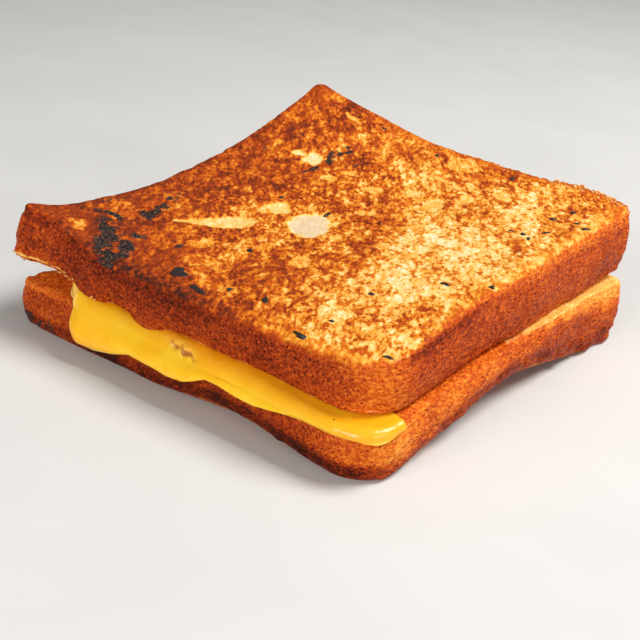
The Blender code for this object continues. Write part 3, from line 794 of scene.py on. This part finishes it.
# ---- Materials ----
class Nodes:
    """Short names for the shader nodes that the materials are made of."""

    def __init__(self, name):
        self.material = bpy.data.materials.new(name)
        self.material.use_nodes = True
        self.tree = self.material.node_tree
        self.shader = self.tree.nodes["Principled BSDF"]
        self.place = self.tree.nodes.new("ShaderNodeTexCoord").outputs["Object"]

    def draw_out(self, turn, times):
        """Draws everything after this out along one direction on the slice."""
        self.place = self.put("Mapping", {"Vector": self.place, "Rotation": (0, 0, math.radians(turn)),
                                                    "Scale": (times, 1, 1)}, vector_type="TEXTURE").outputs[0]

    def put(self, kind, values=(), **settings):
        """A shader node with settings, its inputs given by name or number as a value or as a socket to link."""
        made = self.tree.nodes.new("ShaderNode" + kind)
        for key, value in settings.items():
            setattr(made, key, value)
        self.feed(made, values)
        return made

    def feed(self, node, values):
        for key, value in dict(values).items():
            if isinstance(value, bpy.types.NodeSocket):
                self.tree.links.new(value, node.inputs[key])
            else:
                node.inputs[key].default_value = value

    def field(self, name):
        return self.put("Attribute", attribute_name=name).outputs["Fac"]

    def noise(self, size, detail=3.0, roughness=0.6):
        """Noise with features about size millimetres across."""
        return self.put("TexNoise", {"Vector": self.place, "Scale": 1 / (size * MM), "Detail": detail,
                                               "Roughness": roughness}).outputs["Fac"]

    def cells(self, size, warp=0.0):
        """Distance from the middles of cells about size millimetres across, bent by warp millimetres."""
        place = self.place
        if warp:
            bend = self.put("TexNoise", {"Vector": place, "Scale": 1 / (size * MM), "Detail": 2.0})
            middle = self.put("VectorMath", {0: bend.outputs["Color"], 1: (0.5, 0.5, 0.5)},
                              operation="SUBTRACT").outputs[0]
            place = self.put("VectorMath", {0: middle, 1: (4 * warp * MM,) * 3, 2: place},
                             operation="MULTIPLY_ADD").outputs[0]
        return self.put("TexVoronoi", {"Vector": place, "Scale": 1 / (size * MM)}).outputs["Distance"]

    def math(self, operation, a, b, clamp=False):
        return self.put("Math", {0: a, 1: b}, operation=operation, use_clamp=clamp).outputs[0]

    def add(self, a, b, clamp=False):
        return self.math("ADD", a, b, clamp)

    def less(self, a, b):
        return self.math("SUBTRACT", a, b)

    def times(self, a, b):
        return self.math("MULTIPLY", a, b)

    def spread(self, value, low, high, to_low=0.0, to_high=1.0):
        """Maps low..high to to_low..to_high and holds it there."""
        return self.put("MapRange", {"Value": value, "From Min": low, "From Max": high,
                                               "To Min": to_low, "To Max": to_high}).outputs[0]

    def vary(self, value, by, low, high, to_low, to_high):
        """A value with another one spread and added to it."""
        return self.add(value, self.spread(by, low, high, to_low, to_high))

    def mix(self, share, a, b):
        return self.put("Mix", {"Factor": share, 6: a, 7: b}, data_type="RGBA").outputs[2]

    def ramp(self, value, stops):
        made = self.put("ValToRGB", {"Fac": value})
        while len(made.color_ramp.elements) < len(stops):
            made.color_ramp.elements.new(0.5)
        for element, (position, colour) in zip(made.color_ramp.elements, stops):
            element.position, element.color = position, srgb(*colour)
        return made.outputs["Color"]

    def bump(self, height, depth, strength):
        values = {"Height": height, "Distance": depth * MM, "Strength": strength}
        return self.put("Bump", values).outputs[0]

    def finish(self, **inputs):
        self.feed(self.shader, {key.replace("_", " "): value for key, value in inputs.items()})
        return self.material


FACE_COLOURS = (
    (0.00, (250, 222, 178)), (0.18, (245, 204, 130)), (0.34, (235, 172, 74)), (0.46, (219, 132, 32)),
    (0.58, (199, 98, 20)), (0.70, (172, 70, 18)), (0.82, (134, 50, 16)), (0.93, (98, 38, 18)), (1.00, (64, 30, 20)),
)
CRUST_COLOURS = (
    (0.00, (252, 190, 92)), (0.25, (234, 136, 40)), (0.45, (204, 90, 22)), (0.60, (170, 62, 14)),
    (0.75, (130, 40, 8)), (0.90, (88, 26, 6)), (1.00, (48, 18, 8)),
)
CRUMB_COLOURS = ((0.00, (224, 132, 50)), (0.40, (246, 176, 84)), (0.75, (255, 208, 124)), (1.00, (255, 228, 164)))
DENT_COLOUR = srgb(208, 183, 150)
# Char: black to dark brown. Its lightest stop is partly brown char and partly painted glints.
CHAR_AND_GLINT_COLOURS = ((0.32, (18, 17, 20)), (0.52, (46, 38, 38)), (0.68, (118, 84, 62)))


def bread_material(name):
    made = Nodes(name)
    toast, crust, crumb, char, pale, calm = (made.field(key) for key in BREAD_FIELDS)
    straight = made.place
    made.draw_out(-55, 1.7)
    grain = made.noise(2.8, 6.0, 0.70)
    fine = made.noise(1.0, 4.0, 0.65)
    patches = made.noise(9.0, 3.0, 0.55)
    pebbles = made.cells(2.6, warp=1.0)
    dots = made.cells(2.4)
    made.place = straight

    # Toasted face: a pale ground with brown granules, cut crisply from noise at a height set by the toasting.
    both = made.add(made.times(grain, 0.7), made.times(fine, 0.3))
    both = made.vary(both, toast, 0.3, 0.7, -0.035, 0.035)
    shift = made.vary(made.spread(both, 0.455, 0.545, -0.12, 0.145), fine, 0.34, 0.66, -0.14, 0.13)
    shift = made.vary(shift, patches, 0.34, 0.66, -0.12, 0.12)
    shift = made.vary(shift, pebbles, 0.2, 0.6, -0.13, 0.09)
    amount = made.times(made.less(1.0, made.times(calm, 0.55)), made.spread(toast, 0.50, 0.72, 1.0, 0.62))
    level = made.add(toast, made.times(shift, amount))
    dot = made.spread(dots, 0.09, 0.17, 0.40, 0.0)
    level = made.add(level, made.times(dot, made.spread(toast, 0.2, 0.5, 0.9, 0.35)))
    # A dent keeps the bread's pale ground, the paler the less it was touched.
    untouched = made.vary(made.spread(pale, 0.3, 1.0, 0.40, 0.08), both, 0.4, 0.6, -0.14, 0.14)
    in_dent = made.spread(made.vary(pale, both, 0.4, 0.6, 0.16, -0.16), 0.12, 0.42)
    in_dent = made.times(in_dent, made.spread(pale, 0.35, 0.66, 0.72, 1.0))
    level = made.add(made.times(level, made.less(1.0, in_dent)), made.times(untouched, in_dent))
    face_colour = made.ramp(level, FACE_COLOURS)

    # Crust: close brown skin with light specks, partly real tan specks and partly painted glints, and dark pores.
    made.place = made.put("Mapping", {"Vector": straight, "Scale": (1.0, 0.6, 1.2)}).outputs[0]
    specks_and_glints = made.cells(0.60)
    pores = made.cells(1.2)
    fibres = made.noise(0.9, 5.0, 0.7)
    made.place = straight
    crust_level = made.vary(toast, fibres, 0.32, 0.68, -0.22, 0.22)
    crust_level = made.less(crust_level, made.spread(specks_and_glints, 0.12, 0.28, 0.27, 0.0))
    crust_level = made.vary(crust_level, pores, 0.10, 0.26, 0.26, -0.02)
    crust_colour = made.ramp(crust_level, CRUST_COLOURS)

    crumb_level = made.vary(made.spread(grain, 0.3, 0.7, 0.1, 0.8), fine, 0.3, 0.7, -0.15, 0.15)
    broken = made.vary(crust, fine, 0.3, 0.7, -0.14, 0.14)
    colour = made.mix(made.spread(broken, 0.35, 0.65), face_colour, crust_colour)
    bare = made.vary(crumb, grain, 0.3, 0.7, -0.25, 0.25)
    colour = made.mix(made.spread(bare, 0.40, 0.62), colour, made.ramp(crumb_level, CRUMB_COLOURS))
    colour = made.mix(made.spread(pale, 0.75, 1.0, 0.0, 0.75), colour, DENT_COLOUR)
    # Char patches, whose lighter flecks are partly painted glints.
    burnt = made.vary(char, made.noise(1.3, 6.0, 0.72), 0.3, 0.7, -0.42, 0.42)
    colour = made.mix(made.spread(burnt, 0.38, 0.54), colour, made.ramp(made.noise(0.6, 3.0), CHAR_AND_GLINT_COLOURS))

    rough = made.spread(made.noise(3.2, 3.0), 0.35, 0.65, 0.40, 0.68)
    rough = made.add(rough, made.times(crumb, 0.14), clamp=True)
    height = made.add(made.times(fine, 0.7), made.times(grain, 0.6))
    height = made.add(height, made.times(made.less(fibres, specks_and_glints), 0.4))
    height = made.less(height, made.spread(pores, 0.06, 0.26, 0.45, 0.0))
    return made.finish(Base_Color=colour, Roughness=rough, Normal=made.bump(height, 0.40, 0.9),
                       Specular_IOR_Level=0.08)


CHEESE_COLOURS = ((0.25, (255, 180, 16)), (0.50, (255, 191, 26)), (0.75, (255, 201, 46)))
# The cheese's painted shade and painted highlight.
CHEESE_SHADE, CHEESE_PAINTED_HIGHLIGHT = srgb(236, 146, 18), srgb(255, 226, 160)
CHEESE_TEAR, CHEESE_SPECK = srgb(170, 86, 14), srgb(96, 44, 14)
CHEESE_DEPTH = 0.004, 0.0022, 0.0006      # how far light travels inside, in metres


def cheese_material():
    made = Nodes("Melted_Cheese")
    tear, skin, shade = (made.field(key) for key in CHEESE_FIELDS)
    colour = made.ramp(made.noise(9.0, 2.0), CHEESE_COLOURS)
    # Painted shade under the crust and towards the ends of the run.
    colour = made.mix(made.times(shade, 0.6), colour, CHEESE_SHADE)
    # A painted highlight along the lower left edge, over the left end and on the fold.
    colour = made.mix(made.times(skin, 0.85), colour, CHEESE_PAINTED_HIGHLIGHT)
    scorched = made.vary(tear, made.noise(1.0, 3.0), 0.3, 0.7, -0.3, 0.3)
    colour = made.mix(made.spread(scorched, 0.25, 0.8, 0.0, 0.9), colour, CHEESE_TEAR)
    colour = made.mix(made.spread(made.cells(7.0), 0.03, 0.045, 0.85, 0.0), colour, CHEESE_SPECK)
    rough = made.spread(made.noise(5.0, 2.0), 0.35, 0.65, 0.20, 0.34)
    return made.finish(Base_Color=colour, Roughness=rough, Normal=made.bump(made.noise(2.6, 2.0), 0.10, 0.6),
                       Specular_IOR_Level=0.35, Subsurface_Weight=0.35, Subsurface_Radius=CHEESE_DEPTH,
                       Subsurface_Scale=1.0, Coat_Weight=0.1, Coat_Roughness=0.12)


def bit_material(name, colours, size, rough, rough_size, bump_size, depth, strength):
    """A rough speckled material for the small pieces."""
    made = Nodes(name)
    return made.finish(Base_Color=made.ramp(made.noise(size, 3.0), colours),
                       Roughness=made.spread(made.noise(rough_size, 2.0), 0.3, 0.7, *rough),
                       Normal=made.bump(made.noise(bump_size, 3.0), depth, strength))


FLECK_COLOURS = ((0.30, (20, 15, 13)), (0.55, (38, 28, 24)), (0.80, (74, 52, 42)))
BIT_COLOURS = ((0.30, (176, 92, 34)), (0.50, (226, 150, 70)), (0.75, (248, 206, 136)))


# ---- Putting it together ----
def linked(name, data):
    """A new object in the scene."""
    made = bpy.data.objects.new(name, data)
    bpy.context.scene.collection.objects.link(made)
    return made


def build(name, surface, shift, material, fields=()):
    """The surface as an object in metres that rides on the sandwich."""
    mesh = bpy.data.meshes.new(name)
    mesh.from_pydata(((surface.points + shift) * MM).tolist(), [], surface.quads.tolist())
    mesh.validate()
    mesh.polygons.foreach_set("use_smooth", np.ones(len(mesh.polygons), bool))
    if len(mesh.loops) == surface.quads.size and np.any(surface.uvs):
        layer = mesh.uv_layers.new(name="OFBake")
        layer.data.foreach_set("uv", surface.uvs.astype(np.float32).ravel())
    for key in fields:
        field = mesh.attributes.new(key, "FLOAT", "POINT")
        field.data.foreach_set("value", surface.info[key].astype(np.float32))
    mesh.materials.append(material)
    mesh.update()
    made = linked(name, mesh)
    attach(made, "root")
    return made


upper = slice_surface(upper_top, upper_under, (TOASTED_RIM, INNER_RIM), UPPER_SEED, UPPER_CORNERS, same_place,
                      FACE_LINES, True)
lower = slice_surface(lower_top, lower_under, (INNER_RIM, UNDER_RIM), LOWER_SEED, LOWER_CORNERS, to_lower,
                      EDGE_POINTS, False)

# The CAD's box says where the middle of the sandwich is.
cad_low, cad_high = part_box("bread_top")
own_low, own_high = upper.points.min(0), upper.points.max(0)
SHIFT = (np.array(cad_low) + np.array(cad_high)) / 2 / MM - (own_low + own_high) / 2

bread = bread_material("Toasted_Bread")
upper, lower, cheese = upper_looks(upper), lower_looks(lower), cheese_looks(cheese_surface())
top_slice = build("top_slice", upper, SHIFT, bread, BREAD_FIELDS)
bottom_slice = build("bottom_slice", lower, SHIFT, bread, BREAD_FIELDS)
melted = build("melted_cheese", cheese, SHIFT, cheese_material(), CHEESE_FIELDS)
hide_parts("bread_top")
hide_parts("bread_bottom")
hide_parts("cheese")

fleck = bit_material("Burnt_Fleck", FLECK_COLOURS, 0.5, (0.35, 0.6), 0.4, 0.35, 0.15, 0.8)
build("burnt_flecks", flecks_surface(upper), SHIFT, fleck)
bit = bit_material("Toasted_Crumb", BIT_COLOURS, 1.6, (0.5, 0.8), 0.5, 0.3, 0.12, 0.7)
build("crumbs", crumbs_surface(upper), SHIFT, bit)


# ---- Floor, lights and camera, in metres ----
FLOOR_HALF = 8.0
LIT_POINT = 0, 0, 0.02


def floor():
    made = Nodes("Pale_Floor")
    shade = made.ramp(made.noise(60.0, 2.0), ((0.3, (203, 201, 197)), (0.7, (208, 206, 202))))
    material = made.finish(Base_Color=shade, Roughness=0.8)
    mesh = bpy.data.meshes.new("floor")
    corners = [(x * FLOOR_HALF, y * FLOOR_HALF, 0) for x, y in ((-1, -1), (1, -1), (1, 1), (-1, 1))]
    mesh.from_pydata(corners, [], [(0, 1, 2, 3)])
    mesh.materials.append(material)
    made = linked("floor", mesh)


def area(name, place, size, watts):
    """A round white light that shines on the sandwich."""
    light = bpy.data.lights.new(name, "AREA")
    light.shape, light.size, light.energy = "DISK", size, watts
    made = linked(name, light)
    made.location = place
    made.rotation_euler = (Vector(LIT_POINT) - made.location).to_track_quat("-Z", "Y").to_euler()


floor()
area("key", (0.42, 0.30, 0.80), 0.45, 10.5)
area("fill", (0.05, -0.95, 0.40), 0.6, 6.5)
area("side", (0.95, -0.25, 0.35), 0.5, 2.2)
world = bpy.data.worlds.new("Studio")
world.use_nodes = True
background = world.node_tree.nodes["Background"].inputs
background["Color"].default_value, background["Strength"].default_value = (1, 1, 1, 1), 0.18
bpy.context.scene.world = world

CAMERA_TURN, CAMERA_RISE, CAMERA_ROLL = math.radians(34.75), math.radians(24.88), math.radians(5.95)
CAMERA_AWAY, CAMERA_ASIDE, CAMERA_UP = 341.0, -3.13, 1.98  # from the middle of the sandwich, in millimetres
LENS, SENSOR = 70.25, 36.0


def camera():
    """Looks past the near right corner, a little from above."""
    back = Vector((math.sin(CAMERA_TURN) * math.cos(CAMERA_RISE), -math.cos(CAMERA_TURN) * math.cos(CAMERA_RISE),
                   math.sin(CAMERA_RISE)))
    across = Vector((0, 0, 1)).cross(back).normalized()
    over = back.cross(across)
    c, s = math.cos(CAMERA_ROLL), math.sin(CAMERA_ROLL)
    across, over = c * across + s * over, c * over - s * across
    data = bpy.data.cameras.new("camera")
    data.lens, data.sensor_width, data.clip_start = LENS, SENSOR, 0.01
    made = linked("camera", data)
    place = back * CAMERA_AWAY + across * CAMERA_ASIDE + over * CAMERA_UP + Vector(SHIFT)
    made.matrix_world = Matrix.Translation(place * MM) @ Matrix((across, over, back)).transposed().to_4x4()
    bpy.context.scene.camera = made


camera()
bpy.context.scene.view_settings.view_transform = "Standard"
